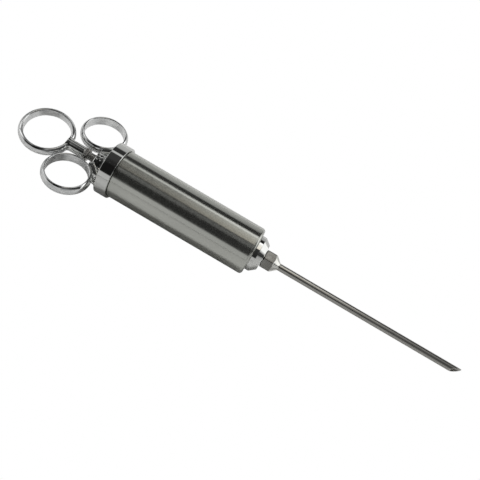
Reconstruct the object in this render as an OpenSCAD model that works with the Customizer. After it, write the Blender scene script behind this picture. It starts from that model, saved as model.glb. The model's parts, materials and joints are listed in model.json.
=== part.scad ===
// Stainless meat injector: a piston syringe with two finger rings, a thumb ring
// and a bevelled needle that screws on.
// The axis runs along X with the needle towards +X. The finger rings lie in the XY plane.
// Origin: on the axis, halfway along the straight outside of the barrel.
// All lengths are millimetres.

/* [Barrel] */
// Outside radius of the barrel
barrel_r = 16; // [15.9:0.1:16.6]
// Inside radius of the barrel
bore_r = 15; // [14:0.1:15]
// Length of the straight outside, between the cap and the front edge radius
straight_len = 95; // [70:0.2:130]
// Radius of the rounded front edge
edge_r = 2.1; // [0.8:0.1:3]
// Thickness of the front wall
front_wall = 2; // [1.2:0.1:2.6]

/* [Rear cap] */
// Outside radius of the cap
cap_r = 17.6; // [17.3:0.1:19]
// Length of the cap along the axis
cap_len = 8.4; // [7.4:0.1:12]
// Thickness of the cap's end plate
cap_plate = 2; // [1.4:0.1:2.4]
// Thickness of the flat gasket under the cap
gasket_t = 1.2; // [0.8:0.1:1.4]
// Pitch of the cap thread
cap_pitch = 1.5; // [1:0.25:1.5]

/* [Finger rings] */
// Outside radius of a finger ring
finger_r = 15.45; // [14.5:0.05:15.6]
// Radial thickness of a finger ring
finger_wall = 2.4; // [2.2:0.1:3]
// Width of a finger ring along its own axis
finger_band = 6.7; // [5.8:0.1:7]
// Edge radius of the finger rings
finger_edge = 0.4; // [0.3:0.05:0.8]
// Distance of the ring centres behind the cap
finger_back = 16.6; // [16.2:0.1:17.5]
// Distance of each ring centre from the main axis
finger_side = 21.45; // [21:0.1:22.5]

/* [Thumb ring] */
// Outside radius of the thumb ring
thumb_r = 17.7; // [16.5:0.1:18.2]
// Radial thickness of the thumb ring
thumb_wall = 3.1; // [2.4:0.1:3.4]
// Width of the thumb ring along its own axis
thumb_band = 6.2; // [5.8:0.1:6.6]
// Edge radius of the thumb ring
thumb_edge = 0.6; // [0.3:0.05:0.8]
// Distance of the thumb ring centre behind the cap, plunger home
thumb_back = 45.1; // [44.6:0.1:50]
// Turn of the thumb ring about the main axis
thumb_turn = 9; // [-90:1:90]
// Outside radius of the shank that carries the thumb ring
shank_r = 3.8; // [3.5:0.1:4.2]

/* [Plunger] */
// Radius of the plunger rod
rod_r = 2.7; // [2.5:0.05:2.9]
// Radial running clearance of rod and guide bush
run_c = 0.05; // [0.02:0.01:0.08]
// Length of the piston body
piston_len = 9; // [8:0.5:12]
// Section radius of each piston O-ring
oring_r = 1.25; // [1:0.05:1.3]

/* [Nozzle] */
// Radius of the nozzle boss at the barrel
boss_r = 11.85; // [10.5:0.05:12.5]
// Length of the straight part of the boss
boss_len = 2.85; // [2:0.1:5]
// Radius of the boss at its front face
boss_nose_r = 8.7; // [7.5:0.1:9.5]
// Length of the boss cone
boss_cone = 3.95; // [2:0.1:6]
// Radius of the threaded spigot
spigot_r = 3.85; // [3.6:0.05:4]
// Length of the threaded spigot
spigot_len = 6.3; // [5.5:0.1:7]

/* [Needle] */
// Hub width across flats
hub_af = 11.7; // [11:0.1:13]
// Length of the hexagon
hub_hex = 7.2; // [7:0.1:9]
// Length of the cone in front of the hexagon
hub_cone = 3.8; // [3:0.1:6]
// Turn of the hub about the main axis
hub_turn = 10; // [0:1:59]
// Outside radius of the needle tube
needle_r = 2.35; // [2:0.05:2.4]
// Bore radius of the needle tube
lumen_r = 1.75; // [1:0.05:1.8]
// Needle length in front of the hub
needle_len = 131; // [60:0.2:180]
// Length of the bevel at the point
bevel_len = 8; // [5:0.1:12]

/* [Hidden] */

over = 1;                              // how far cutters run past a face
cap_color = [0.80, 0.80, 0.79];
ring_color = [0.82, 0.82, 0.82];
plate_color = [0.75, 0.75, 0.74];

// Names in x_ are stations along the axis: 0 marks a rear end, 1 a front end.

// barrel and cap
x_shoulder = -straight_len / 2;        // shoulder of the rear thread
x_cap1 = x_shoulder - 0.2;
x_cap0 = x_cap1 - cap_len;
x_plate1 = x_cap0 + cap_plate;         // inner face of the cap plate
x_barrel0 = x_plate1 + gasket_t;
x_barrel1 = straight_len / 2 + edge_r;
x_floor = x_barrel1 - front_wall;      // inner face of the front wall
cap_bore = barrel_r - 0.1;

// nozzle and needle
nozzle_bore_r = 2;
nozzle_seat_r = 6;                     // hole in the front wall
x_boss = x_barrel1 + boss_len;         // start of the boss cone
x_nose = x_boss + boss_cone;
x_spigot1 = x_nose + spigot_len;
x_hub0 = x_nose + 0.35;
x_land = x_spigot1 + 0.8;              // hub shoulder on the needle gasket
x_hex1 = x_hub0 + hub_hex;
x_hub1 = x_hex1 + hub_cone;
x_tube0 = x_land + 1;
tube_seat_r = needle_r - 0.2;          // tube end turned down inside the hub
x_tip = x_hub1 + needle_len;

// hub of the finger yoke and what sits in it
yoke_r = 5.5;
yoke_len = 9.5;
x_yoke0 = x_cap0 - yoke_len;
seat_r = 4.2;                          // bore of the yoke
clip_r = seat_r + 0.4;                 // circlip and its groove
x_clip0 = x_yoke0 + 0.5;
x_clip1 = x_clip0 + 0.6;
x_bush1 = x_cap0 - 2.4;
x_washer0 = x_cap0 - 0.8;

// rings and shank
x_finger = x_cap0 - finger_back;
x_thumb = x_cap0 - thumb_back;
thumb_hole_r = thumb_r - thumb_wall;
thumb_seam = 137;                      // where the revolve of the thumb ring starts
x_shank1 = x_cap0 - 17;
tang_half_w = sqrt(shank_r * shank_r - thumb_band * thumb_band / 4) + 0.1;
x_tang = x_thumb + sqrt(thumb_r * thumb_r - tang_half_w * tang_half_w);
x_jam1 = x_shank1 + 2.3;
x_rod0 = x_shank1 - 10.4;              // inside the shank

// piston, plunger home
x_rod1 = x_floor - 0.4;
stud_r = 2.45;                         // front end of the rod, through the piston
nut_t = 3;
lock_washer_t = 0.8;
plate_t = 1.5;
x_nut1 = x_rod1 - 0.4;
x_nut0 = x_nut1 - nut_t;
x_piston1 = x_nut0 - lock_washer_t;
x_body1 = x_piston1 - plate_t;
x_body0 = x_body1 - piston_len;
x_piston0 = x_body0 - plate_t;
plate_r = bore_r - 0.4;
plate_chamfer = 0.4;
seal_centre_r = bore_r - 0.02 - oring_r;
x_seals = [for (part = [0.28, 0.72]) x_body0 + part * piston_len];

// ---- Shared shapes ----

// profile points of a row of thread ridges, each a closed ring: [radius, station]
function ridges(crest, root, x0, count, pitch) = [for (i = [0 : count - 1])
  each [[root, x0 + (i + 0.12) * pitch], [crest, x0 + (i + 0.36) * pitch],
        [crest, x0 + (i + 0.64) * pitch], [root, x0 + (i + 0.88) * pitch]]];

// revolves a profile about the main axis: first coordinate radius, second X
module rev() rotate([0, 90, 0]) rotate_extrude($fn = 128) children();

// rectangle between two radii and two stations
module band(r0, r1, x0, x1) translate([r0, x0]) square([r1 - r0, x1 - x0]);

// piece to take off a square outer corner at (radius, x) that faces +X
module round_corner(radius, x, fillet) translate([radius - fillet, x - fillet]) difference() {
  square(fillet + over);
  circle(fillet, $fn = 64);
}

// hexagonal bar on the main axis
module hex_bar(radius, x0, x1, turn = 0)
  translate([x0, 0, 0]) rotate([turn, 0, 0]) rotate([0, 90, 0])
    cylinder(r = radius, h = x1 - x0, $fn = 6);

// section of a ring: flat inside, rounded edges, domed outside
module ring_section(outer, wall, width, edge) {
  inner = outer - wall;
  edge_x = inner + edge;               // centres of the edge circles
  edge_y = width / 2 - edge;
  depth = wall - 2 * edge;
  // the dome touches both edge circles; the wedge through their centres limits it
  dome_r = edge + (depth * depth + edge_y * edge_y) / (2 * depth);
  dome_x = outer - dome_r;
  wedge_len = 1.5 * dome_r;
  wedge_y = edge_y * wedge_len / (edge_x - dome_x);
  union() {
    for (side = [-1, 1]) translate([edge_x, side * edge_y]) circle(edge, $fn = 48);
    translate([inner, -edge_y]) square([edge, 2 * edge_y]);
    intersection() {
      translate([dome_x, 0]) circle(dome_r, $fn = 160);
      polygon([[dome_x, 0], [dome_x + wedge_len, -wedge_y], [dome_x + wedge_len, wedge_y]]);
      translate([inner, -width]) square([2 * wall, 2 * width]);
    }
  }
}

module ring(outer, wall, width, edge)
  rotate_extrude($fn = 160) ring_section(outer, wall, width, edge);

// ---- Barrel, nozzle and cap ----

module barrel() {
  thread_crest = barrel_r - 0.15;
  thread_root = barrel_r - 0.75;
  chamfer = 0.2;
  thread_runout = 0.4;
  floor_fillet = 1.2;
  turns = floor((x_shoulder - x_barrel0 - thread_runout) / cap_pitch);
  color([0.66, 0.66, 0.64]) rev() difference() {
    union() {
      polygon(concat([[0, x_barrel0], [thread_root, x_barrel0]],
        ridges(thread_crest, thread_root, x_barrel0, turns, cap_pitch),
        [[thread_root, x_shoulder], [0, x_shoulder]]));
      difference() {
        polygon([[0, x_shoulder], [barrel_r - chamfer, x_shoulder],
          [barrel_r, x_shoulder + chamfer], [barrel_r, x_barrel1], [0, x_barrel1]]);
        round_corner(barrel_r, x_barrel1, edge_r);
      }
    }
    difference() {
      band(0, bore_r, x_barrel0 - over, x_floor);
      round_corner(bore_r, x_floor, floor_fillet);
    }
    band(0, nozzle_seat_r, x_floor - over, x_barrel1 + over);
  }
}

module nozzle() {
  core_r = spigot_r - 0.6;
  chamfer = 0.25;
  color([0.78, 0.78, 0.77]) rev() polygon(concat(
    [[nozzle_bore_r, x_floor], [nozzle_seat_r, x_floor], [nozzle_seat_r, x_barrel1],
     [boss_r - chamfer, x_barrel1], [boss_r, x_barrel1 + chamfer],
     [boss_r, x_boss - 0.1], [boss_r - 0.1, x_boss + 0.05],
     [boss_nose_r + 0.12, x_nose - 0.2], [boss_nose_r - 0.15, x_nose], [core_r, x_nose]],
    ridges(spigot_r, spigot_r - 0.55, x_nose + 0.9, count = 4, pitch = 1.25),
    [[core_r, x_spigot1], [nozzle_bore_r, x_spigot1]]));
}

module rear_cap() {
  hole_r = rod_r + 0.2;
  back_chamfer = 0.35;
  rim_chamfer = 0.3;
  bore_chamfer = 0.2;
  color(cap_color) rev() polygon([
    [hole_r, x_cap0], [cap_r - back_chamfer, x_cap0], [cap_r, x_cap0 + back_chamfer],
    [cap_r, x_cap1 - rim_chamfer], [cap_r - rim_chamfer, x_cap1],
    [cap_bore + bore_chamfer, x_cap1], [cap_bore, x_cap1 - bore_chamfer],
    [cap_bore, x_plate1], [hole_r, x_plate1]]);
}

module cap_gasket() color([0.85, 0.84, 0.80]) rev()
  band(bore_r - 0.1, cap_bore - 0.1, x_plate1, x_barrel0);

// ---- Finger yoke and rings; side is 1 towards +Y, -1 towards -Y ----

module place_finger(side) translate([x_finger, side * finger_side, 0]) children();

module finger_ring(side)
  place_finger(side) ring(finger_r, finger_wall, finger_band, finger_edge);

module finger_ring_left() color(ring_color) finger_ring(1);

module finger_ring_right() color(ring_color) finger_ring(-1);

// curved arm that hugs the ring
module yoke_arm(side, reach) {
  thickness = 2.15;
  height = 6;
  x_arm0 = x_yoke0 - 0.9;
  translate([0, 0, -height / 2]) linear_extrude(height) intersection() {
    translate([x_finger, side * finger_side]) circle(finger_r + thickness, $fn = 160);
    polygon([[x_arm0, 0], [x_cap0, 0], [x_cap0, side * reach],
      [x_cap0 - 5, side * reach], [x_arm0, side * 8]]);
  }
}

// thinner web between arm, hub and cap
module yoke_web(side, reach) {
  height = 3.6;
  x_web0 = x_yoke0 + 1.2;
  translate([0, 0, -height / 2]) linear_extrude(height)
    polygon([[x_web0, 0], [x_cap0, 0], [x_cap0, side * (reach - 1)],
      [x_cap0 - 3, side * (reach - 3)], [x_web0, side * 6]]);
}

module finger_yoke() {
  chamfer = 0.8;
  arm_reach = 16.3;
  clear_h = 12;
  color(cap_color) difference() {
    union() {
      rev() polygon([[0, x_yoke0], [yoke_r - chamfer, x_yoke0], [yoke_r, x_yoke0 + chamfer],
        [yoke_r, x_cap0], [0, x_cap0]]);
      for (side = [-1, 1]) {
        yoke_arm(side, arm_reach);
        yoke_web(side, arm_reach);
      }
    }
    for (side = [-1, 1]) {
      finger_ring(side);
      // clears the ring hole of any leftover
      place_finger(side) translate([0, 0, -clear_h / 2])
        cylinder(r = finger_r - 1, h = clear_h, $fn = 160);
    }
    rev() band(0, seat_r, x_yoke0 - over, x_cap0 + over);
    rev() band(0, clip_r, x_clip0, x_clip1);
  }
}

// ---- Rod guide inside the yoke ----

module rod_bush() {
  inner = rod_r + run_c;
  chamfer = 0.2;
  color([0.92, 0.91, 0.87]) rev() polygon([
    [inner + chamfer, x_clip1], [seat_r - chamfer, x_clip1], [seat_r, x_clip1 + chamfer],
    [seat_r, x_bush1], [inner + chamfer, x_bush1],
    [inner, x_bush1 - chamfer], [inner, x_clip1 + chamfer]]);
}

module rod_seal() {
  inner = rod_r + 0.02;
  color([0.16, 0.16, 0.16]) rev()
    translate([(seat_r + inner) / 2, (x_bush1 + x_washer0) / 2])
      circle((seat_r - inner) / 2, $fn = 48);
}

module seal_washer() color(plate_color) rev() band(rod_r + 0.25, seat_r, x_washer0, x_cap0);

// open on the +Z side
module bush_circlip() {
  gap = 2.2;
  color([0.45, 0.45, 0.44]) difference() {
    rev() band(seat_r - 0.9, clip_r, x_clip0, x_clip1);
    translate([x_yoke0, -gap / 2, 0]) cube([2, gap, 8]);
  }
}

// ---- Plunger rod, thumb ring and shank ----

// threaded behind the yoke, plain through the barrel, stepped down in the piston
module plunger_rod() {
  root = rod_r - 0.35;
  pitch = 0.8;
  x_thread1 = x_yoke0 - 0.2;
  tip_chamfer = 0.3;
  color([0.72, 0.72, 0.71]) rev() polygon(concat(
    [[0, x_rod0], [rod_r - 0.4, x_rod0]],
    ridges(rod_r, root, x_rod0, floor((x_thread1 - x_rod0) / pitch), pitch),
    [[root, x_thread1], [rod_r, x_yoke0 + 0.1], [rod_r, x_piston0], [stud_r, x_piston0],
     [stud_r, x_rod1 - tip_chamfer], [stud_r - tip_chamfer, x_rod1], [0, x_rod1]]));
}

// thumb ring frame: the ring axis is Z, the shank lies towards +X
module place_thumb() translate([x_thumb, 0, 0]) rotate([thumb_turn, 0, 0]) children();

module thumb_ring() {
  slot_h = 12;
  color(ring_color) difference() {
    place_thumb() rotate([0, 0, thumb_seam]) ring(thumb_r, thumb_wall, thumb_band, thumb_edge);
    // slot for the tang of the shank
    place_thumb() translate([thumb_r / 2, -tang_half_w, -slot_h / 2])
      cube([thumb_r, 2 * tang_half_w, slot_h]);
  }
}

// side of the tang: its edges follow the rounded edges of the ring
module tang_side() {
  half = thumb_band / 2;
  arc_mid = thumb_edge * (1 - sqrt(0.5));  // inset of the middle of the edge arc
  flare = 6;
  hole_r = thumb_hole_r;
  flare_x = thumb_r - 0.9;
  polygon([[hole_r - 1.5, thumb_edge - half], [hole_r, thumb_edge - half],
    [hole_r + arc_mid, arc_mid - half], [hole_r + thumb_edge, -half],
    [flare_x, -flare], [2 * thumb_r, -flare], [2 * thumb_r, flare], [flare_x, flare],
    [hole_r + thumb_edge, half], [hole_r + arc_mid, half - arc_mid],
    [hole_r, half - thumb_edge], [hole_r - 1.5, half - thumb_edge]]);
}

module thumb_shank() {
  chamfer = 0.9;
  hole_h = 16;
  color([0.74, 0.74, 0.73]) difference() {
    union() {
      rev() polygon([[0, x_tang], [shank_r, x_tang], [shank_r, x_shank1 - chamfer],
        [shank_r - chamfer, x_shank1], [0, x_shank1]]);
      // tang that fills the slot in the ring
      intersection() {
        rev() band(0, shank_r, x_thumb + thumb_hole_r - 1.4, x_tang + 0.5);
        place_thumb() rotate([90, 0, 0]) translate([0, 0, -tang_half_w])
          linear_extrude(2 * tang_half_w) tang_side();
      }
    }
    place_thumb() rotate([0, 0, thumb_seam]) translate([0, 0, -hole_h / 2])
      cylinder(r = thumb_hole_r, h = hole_h, $fn = 160);
    rev() band(0, rod_r, x_rod0, x_shank1 + over);
  }
}

module jam_nut() {
  corner_r = 4.6;
  face_r = 4.2;
  bevel = 0.3;
  color([0.62, 0.61, 0.59]) difference() {
    intersection() {
      hex_bar(corner_r, x_shank1, x_jam1, turn = 15);
      rev() polygon([[0, x_shank1], [face_r, x_shank1], [corner_r, x_shank1 + bevel],
        [corner_r, x_jam1 - bevel], [face_r, x_jam1], [0, x_jam1]]);
    }
    rev() band(0, rod_r, x_shank1 - over, x_jam1 + over);
  }
}

// ---- Piston ----

module piston_rear_plate() color(plate_color) rev() polygon([
  [stud_r, x_piston0], [plate_r - plate_chamfer, x_piston0],
  [plate_r, x_piston0 + plate_chamfer], [plate_r, x_body0], [stud_r, x_body0]]);

module piston_body() {
  body_r = bore_r - 0.5;
  groove_r = seal_centre_r - oring_r - 0.02;
  groove_w = 2 * oring_r + 0.2;
  color([0.90, 0.89, 0.86]) rev() difference() {
    band(stud_r, body_r, x_body0, x_body1);
    for (x = x_seals) band(groove_r, body_r + over, x - groove_w / 2, x + groove_w / 2);
  }
}

module piston_front_plate() color(plate_color) rev() polygon([
  [stud_r, x_body1], [plate_r, x_body1], [plate_r, x_piston1 - plate_chamfer],
  [plate_r - plate_chamfer, x_piston1], [stud_r, x_piston1]]);

module piston_seals() color([0.15, 0.15, 0.15])
  for (x = x_seals) rev() translate([seal_centre_r, x]) circle(oring_r, $fn = 48);

// spring washer, slit at a slant on the +Y side
module piston_lock_washer() {
  slit = 0.6;
  slant = 12;
  color([0.50, 0.50, 0.50]) difference() {
    rev() band(stud_r + 0.1, stud_r + 1.9, x_piston1, x_nut0);
    translate([x_piston1 - over, 0, -slit / 2]) rotate([0, 0, slant]) cube([4, 6, slit]);
  }
}

module piston_nut() {
  turned_r = 4.7;
  face_r = 4.0;
  color([0.70, 0.70, 0.69]) difference() {
    intersection() {
      hex_bar(4.62, x_nut0, x_nut1);
      rev() polygon([[0, x_nut0], [turned_r, x_nut0], [turned_r, x_nut1 - 0.5],
        [face_r, x_nut1], [0, x_nut1]]);
    }
    rev() band(0, stud_r, x_nut0 - over, x_nut1 + over);
  }
}

// ---- Needle ----

module needle_gasket() color([0.88, 0.87, 0.83]) rev()
  band(nozzle_bore_r + 0.1, spigot_r - 0.1, x_spigot1, x_land);

module needle_hub() {
  flat_r = hub_af / 2;
  turned_r = flat_r + 0.95;            // trims the corners of the hexagon
  color([0.60, 0.58, 0.55]) difference() {
    intersection() {
      hex_bar(flat_r / cos(30), x_hub0, x_hub1, turn = hub_turn - 90);
      rev() polygon([[0, x_hub0], [flat_r - 0.15, x_hub0], [turned_r, x_hub0 + 0.65],
        [turned_r, x_hex1 - 0.9], [flat_r - 0.1, x_hex1 + 0.05],
        [needle_r + 0.25, x_hub1], [0, x_hub1]]);
    }
    rev() band(0, spigot_r + 0.08, x_hub0 - over, x_land);
    rev() band(0, lumen_r, x_land - over, x_tube0 + over);
    rev() band(0, tube_seat_r, x_tube0, x_hub1 + over);
  }
}

module needle_tube() {
  x_cut0 = x_tip - 1.5 * bevel_len;
  x_cut1 = x_tip + bevel_len;
  cut_h = 10;
  color([0.66, 0.65, 0.63]) difference() {
    // the end inside the hub is turned down, so a shoulder stops against the hub
    rev() polygon([[lumen_r, x_tube0], [tube_seat_r, x_tube0], [tube_seat_r, x_hub1],
      [needle_r, x_hub1], [needle_r, x_tip], [lumen_r, x_tip]]);
    // bevel, facing -Y, with the point on the +Y side
    translate([0, 0, -cut_h / 2]) linear_extrude(cut_h) polygon([
      [x_cut0, -2 * needle_r], [x_tip + 0.5 * bevel_len, 2 * needle_r],
      [x_cut1, 2 * needle_r], [x_cut1, -3 * needle_r], [x_cut0, -3 * needle_r]]);
  }
}

barrel();
nozzle();
rear_cap();
cap_gasket();
finger_yoke();
finger_ring_left();
finger_ring_right();
rod_bush();
rod_seal();
seal_washer();
bush_circlip();
plunger_rod();
thumb_ring();
thumb_shank();
jam_nut();
piston_rear_plate();
piston_body();
piston_front_plate();
piston_seals();
piston_lock_washer();
piston_nut();
needle_gasket();
needle_hub();
needle_tube();
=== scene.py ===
"""A ring-handled metal syringe lying along X, needle tip towards +X, thumb ring at the rear (-X).

The finger rings stand out to +Y and -Y, +Z is up. Shapes are worked out in mm and scaled to metres
when a mesh is made. The main axis is the X axis, and "radius" is measured from it.
"""

import json
import math

import bpy
import numpy as np
from mathutils import Matrix, Vector

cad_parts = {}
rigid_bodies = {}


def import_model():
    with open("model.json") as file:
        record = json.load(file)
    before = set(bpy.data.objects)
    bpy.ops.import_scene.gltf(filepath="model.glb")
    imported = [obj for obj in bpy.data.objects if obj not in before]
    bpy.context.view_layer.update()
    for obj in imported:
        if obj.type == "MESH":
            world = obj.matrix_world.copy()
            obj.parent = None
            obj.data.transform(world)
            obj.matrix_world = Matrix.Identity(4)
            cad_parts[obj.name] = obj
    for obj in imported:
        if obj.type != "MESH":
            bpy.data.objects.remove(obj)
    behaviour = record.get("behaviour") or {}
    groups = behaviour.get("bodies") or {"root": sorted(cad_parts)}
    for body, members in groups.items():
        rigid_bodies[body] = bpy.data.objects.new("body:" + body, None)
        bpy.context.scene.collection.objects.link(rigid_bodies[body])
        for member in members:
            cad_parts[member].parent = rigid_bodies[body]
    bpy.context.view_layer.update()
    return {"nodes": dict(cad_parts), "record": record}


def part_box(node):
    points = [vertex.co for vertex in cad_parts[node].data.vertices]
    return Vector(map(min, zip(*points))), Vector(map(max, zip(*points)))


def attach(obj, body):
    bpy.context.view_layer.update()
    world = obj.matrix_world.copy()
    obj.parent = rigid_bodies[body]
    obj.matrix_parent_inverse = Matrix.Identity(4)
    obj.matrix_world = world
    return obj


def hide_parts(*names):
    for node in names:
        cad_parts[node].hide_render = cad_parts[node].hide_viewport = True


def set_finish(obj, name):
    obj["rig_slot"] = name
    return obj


for left_over in list(bpy.data.objects):
    bpy.data.objects.remove(left_over)
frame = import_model()
NODES = frame["nodes"]
MM = 0.001
PI = math.pi


# ---------------------------------------------------------------- driving sizes from CAD (mm)
BOXES = {name: [[c / MM for c in corner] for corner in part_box(name)] for name in NODES}


def low(part, axis=0):
    return BOXES[part][0][axis]


def high(part, axis=0):
    return BOXES[part][1][axis]


CAP_REAR, CAP_FRONT, CAP_R = low("rear_cap"), high("rear_cap"), high("rear_cap", 1)
BARREL_REAR, BARREL_FRONT, BARREL_R = low("barrel"), high("barrel"), high("barrel", 1)
BORE_END = BARREL_FRONT - 2.0                 # inner face of the barrel's front wall
NOZZLE_FRONT, NOZZLE_R = high("nozzle"), high("nozzle", 1)
NOZZLE_BORE_R = 2.0
NOZZLE_SEAT_R = 6.0                           # hole in the front wall, filled by the nozzle
HUB_REAR, HUB_FRONT = low("needle_hub"), high("needle_hub")
TUBE_REAR, TIP, TUBE_R = low("needle_tube"), high("needle_tube"), high("needle_tube", 1)
TUBE_BORE_R = 1.75
JAM_REAR, JAM_FRONT = low("jam_nut"), high("jam_nut")
ROD_REAR, ROD_FRONT, ROD_R = low("plunger_rod"), high("plunger_rod"), high("plunger_rod", 1)
SHANK_FRONT, SHANK_R = high("thumb_shank"), high("thumb_shank", 1)
YOKE_REAR = low("rod_bush") - 1.1

FINGER_X = (low("finger_ring_left") + high("finger_ring_left")) / 2
FINGER_Y = (low("finger_ring_left", 1) + high("finger_ring_left", 1)) / 2
FINGER_R = (high("finger_ring_left") - low("finger_ring_left")) / 2
FINGER_BAND = high("finger_ring_left", 2) - low("finger_ring_left", 2)
FINGER_WALL, FINGER_EDGE = 2.4, 0.4
THUMB_R, THUMB_WALL, THUMB_BAND, THUMB_EDGE = 17.7, 3.1, 6.2, 0.6
THUMB_X = low("thumb_ring") + THUMB_R
THUMB_TURN = math.radians(9)                  # about the main axis

MADE = []


# ---------------------------------------------------------------- mesh building
def make_object(part, verts, faces, body, slot, loop_normals=None, vertex_normals=None):
    """Make the object that stands for one CAD part, from points in mm."""
    mesh = bpy.data.meshes.new(part + "_v")
    mesh.from_pydata([tuple(v) for v in (np.asarray(verts) * MM)], [], faces)
    mesh.update()
    mesh.validate(verbose=False)
    mesh.shade_smooth()
    if loop_normals is not None:
        mesh.normals_split_custom_set([tuple(n) for n in loop_normals])
    if vertex_normals is not None:
        mesh.normals_split_custom_set_from_vertices([tuple(n) for n in vertex_normals])
    ob = bpy.data.objects.new(part + "_v", mesh)
    bpy.context.scene.collection.objects.link(ob)
    MADE.append(ob)
    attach(ob, body)
    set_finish(ob, slot)
    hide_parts(part)
    return ob


def round_corners(points, steps):
    """Turn (x, radius, fillet) corners into (x, radius, normal x, normal radius) samples.

    The closed outline runs counter-clockwise, x to the right and radius up. steps: per right angle.
    """
    samples = []
    count = len(points)
    for i, (x, r, fillet) in enumerate(points):
        corner = np.array([x, r], float)
        dir_in = corner - np.array(points[(i - 1) % count][:2], float)
        len_in = np.linalg.norm(dir_in)
        dir_in /= len_in
        dir_out = np.array(points[(i + 1) % count][:2], float) - corner
        len_out = np.linalg.norm(dir_out)
        dir_out /= len_out
        normal_in = np.array([dir_in[1], -dir_in[0]])
        if fillet <= 0:
            samples.append((x, r, normal_in[0], normal_in[1]))
            samples.append((x, r, dir_out[1], -dir_out[0]))
            continue
        turn = math.atan2(dir_in[0] * dir_out[1] - dir_in[1] * dir_out[0],
                          float(dir_in @ dir_out))
        # a fillet takes less than half of either edge
        setback = min(fillet * math.tan(abs(turn) / 2), len_in * 0.49, len_out * 0.49)
        fillet = setback / math.tan(abs(turn) / 2)
        side = 1 if turn > 0 else -1
        centre = corner - dir_in * setback - normal_in * fillet * side
        first = math.atan2(normal_in[1] * side, normal_in[0] * side)
        arc_steps = max(2, int(math.ceil(steps * abs(turn) / (PI / 2))))
        for j in range(arc_steps + 1):
            angle = first + turn * j / arc_steps
            out = np.array([math.cos(angle), math.sin(angle)])
            point = centre + out * fillet
            samples.append((point[0], point[1], out[0] * side, out[1] * side))
    return samples


def lathe_data(samples, sides):
    """Turn closed samples round X. Samples at one place share vertices but keep their normals."""
    points, point_of = [], []
    for x, r, _, _ in samples:
        if not points or abs(points[-1][0] - x) >= 1e-7 or abs(points[-1][1] - r) >= 1e-7:
            points.append((x, r))
        point_of.append(len(points) - 1)
    angles = np.arange(sides) * 2 * PI / sides
    cosines, sines = np.cos(angles), np.sin(angles)
    verts = []
    for x, r in points:
        verts.extend(zip([x] * sides, r * cosines, r * sines))
    faces, normals = [], []
    for i, sample in enumerate(samples):
        after = (i + 1) % len(samples)
        if point_of[i] == point_of[after]:
            continue
        a, b = point_of[i] * sides, point_of[after] * sides
        for j in range(sides):
            k = (j + 1) % sides
            faces.append([a + j, b + j, b + k, a + k])
            for s, m in ((sample, j), (samples[after], j), (samples[after], k), (sample, k)):
                normals.append((s[2], s[3] * cosines[m], s[3] * sines[m]))
    return np.array(verts, float), faces, np.array(normals, float)


def lathe(part, points, body, slot, sides, steps):
    verts, faces, normals = lathe_data(round_corners(points, steps), sides)
    make_object(part, verts, faces, body, slot, loop_normals=normals)


def circle_row(x, r, angles):
    """One row of points round the main axis. x and r may vary with the angle."""
    return np.stack([np.broadcast_to(x, angles.shape), r * np.cos(angles), r * np.sin(angles)], -1)


def grid_piece(part, rows, body, slot, sharp_angle, capped=False):
    """Skin rows of points, listed rear to front. The last row joins the first unless capped."""
    rows = np.array(rows, float)[::-1]
    count, sides, _ = rows.shape
    verts = rows.reshape(-1, 3)
    faces = []
    for i in range(count - 1 if capped else count):
        a, b = i * sides, ((i + 1) % count) * sides
        for j in range(sides):
            k = (j + 1) % sides
            faces.append([a + j, b + j, b + k, a + k])
    if capped:
        verts = np.vstack([verts, rows[0].mean(0), rows[-1].mean(0)])
        pole0, pole1 = len(verts) - 2, len(verts) - 1
        for j in range(sides):
            k = (j + 1) % sides
            faces.append([pole0, j, k])
            faces.append([pole1, (count - 1) * sides + k, (count - 1) * sides + j])
    ob = make_object(part, verts, faces, body, slot)
    ob.data.set_sharp_from_angle(angle=math.radians(sharp_angle))


def gradient(field, points, delta=0.02):
    slopes = np.zeros_like(points)
    for axis in range(3):
        offset = np.zeros(3)
        offset[axis] = delta
        slopes[:, axis] = (field(*(points + offset).T) - field(*(points - offset).T)) / (2 * delta)
    return slopes


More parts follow.
